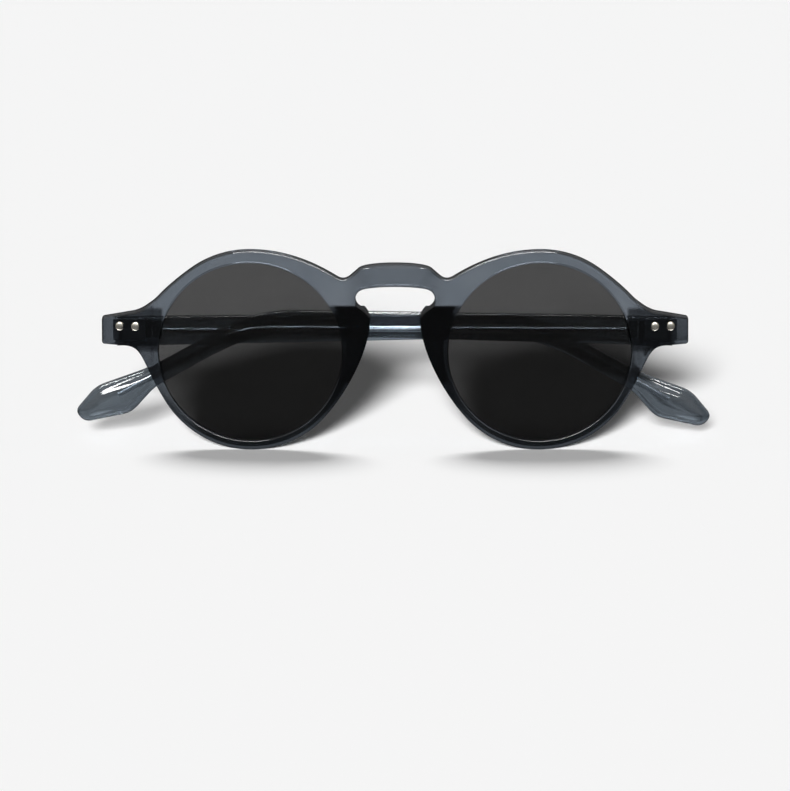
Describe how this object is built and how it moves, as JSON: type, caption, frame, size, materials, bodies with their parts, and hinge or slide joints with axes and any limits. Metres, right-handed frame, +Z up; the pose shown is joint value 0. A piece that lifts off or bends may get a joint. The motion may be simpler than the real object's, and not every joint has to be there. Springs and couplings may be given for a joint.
{
  "type": "folding sunglasses",
  "caption": "Round polarized sunglasses in dark acetate with a keyhole bridge and folding temples, standing folded on the rims.",
  "frame": {"origin": "on the ground under the middle of the folded sunglasses", "axes": "+X to the wearer's left across the front, +Y from the lenses towards the face, +Z up"},
  "size_m": [0.1452, 0.0186, 0.0457],
  "materials": {
    "acetate": "polished translucent blue-grey acetate",
    "pad_acetate": "polished translucent blue-grey acetate",
    "lens_ply": "polished neutral grey tint",
    "polarizing_film": "smooth grey film",
    "rivet_metal": "polished",
    "hinge_metal": "satin",
    "core_wire_metal": "satin"
  },
  "bodies": {
    "front": {"front_frame": "acetate", "nose_pad_left": "pad_acetate", "nose_pad_right": "pad_acetate", "lens_left_outer_ply": "lens_ply", "lens_left_film": "polarizing_film", "lens_left_inner_ply": "lens_ply", "lens_right_outer_ply": "lens_ply", "lens_right_film": "polarizing_film", "lens_right_inner_ply": "lens_ply", "front_hinge_left": "hinge_metal", "front_hinge_right": "hinge_metal", "front_rivet_left_inner": "rivet_metal", "front_rivet_left_outer": "rivet_metal", "front_rivet_right_inner": "rivet_metal", "front_rivet_right_outer": "rivet_metal", "hinge_screw_left": "hinge_metal", "hinge_screw_right": "hinge_metal"},
    "temple_left": {"temple_left": "acetate", "temple_hinge_left": "hinge_metal", "core_wire_left": "core_wire_metal", "temple_rivet_left_front": "rivet_metal", "temple_rivet_left_rear": "rivet_metal"},
    "temple_right": {"temple_right": "acetate", "temple_hinge_right": "hinge_metal", "core_wire_right": "core_wire_metal", "temple_rivet_right_front": "rivet_metal", "temple_rivet_right_rear": "rivet_metal"}
  },
  "joints": [
    {"name": "hinge_left", "type": "hinge", "parent": "front", "child": "temple_left", "pos_m": [0.0622, 0.00216, 0.0265], "axis": [0, 0, -1], "range_deg": [0, 95.9]},
    {"name": "hinge_right", "type": "hinge", "parent": "front", "child": "temple_right", "pos_m": [-0.0622, 0.00216, 0.0265], "axis": [0, 0, 1], "range_deg": [0, 92.9]}
  ]
}
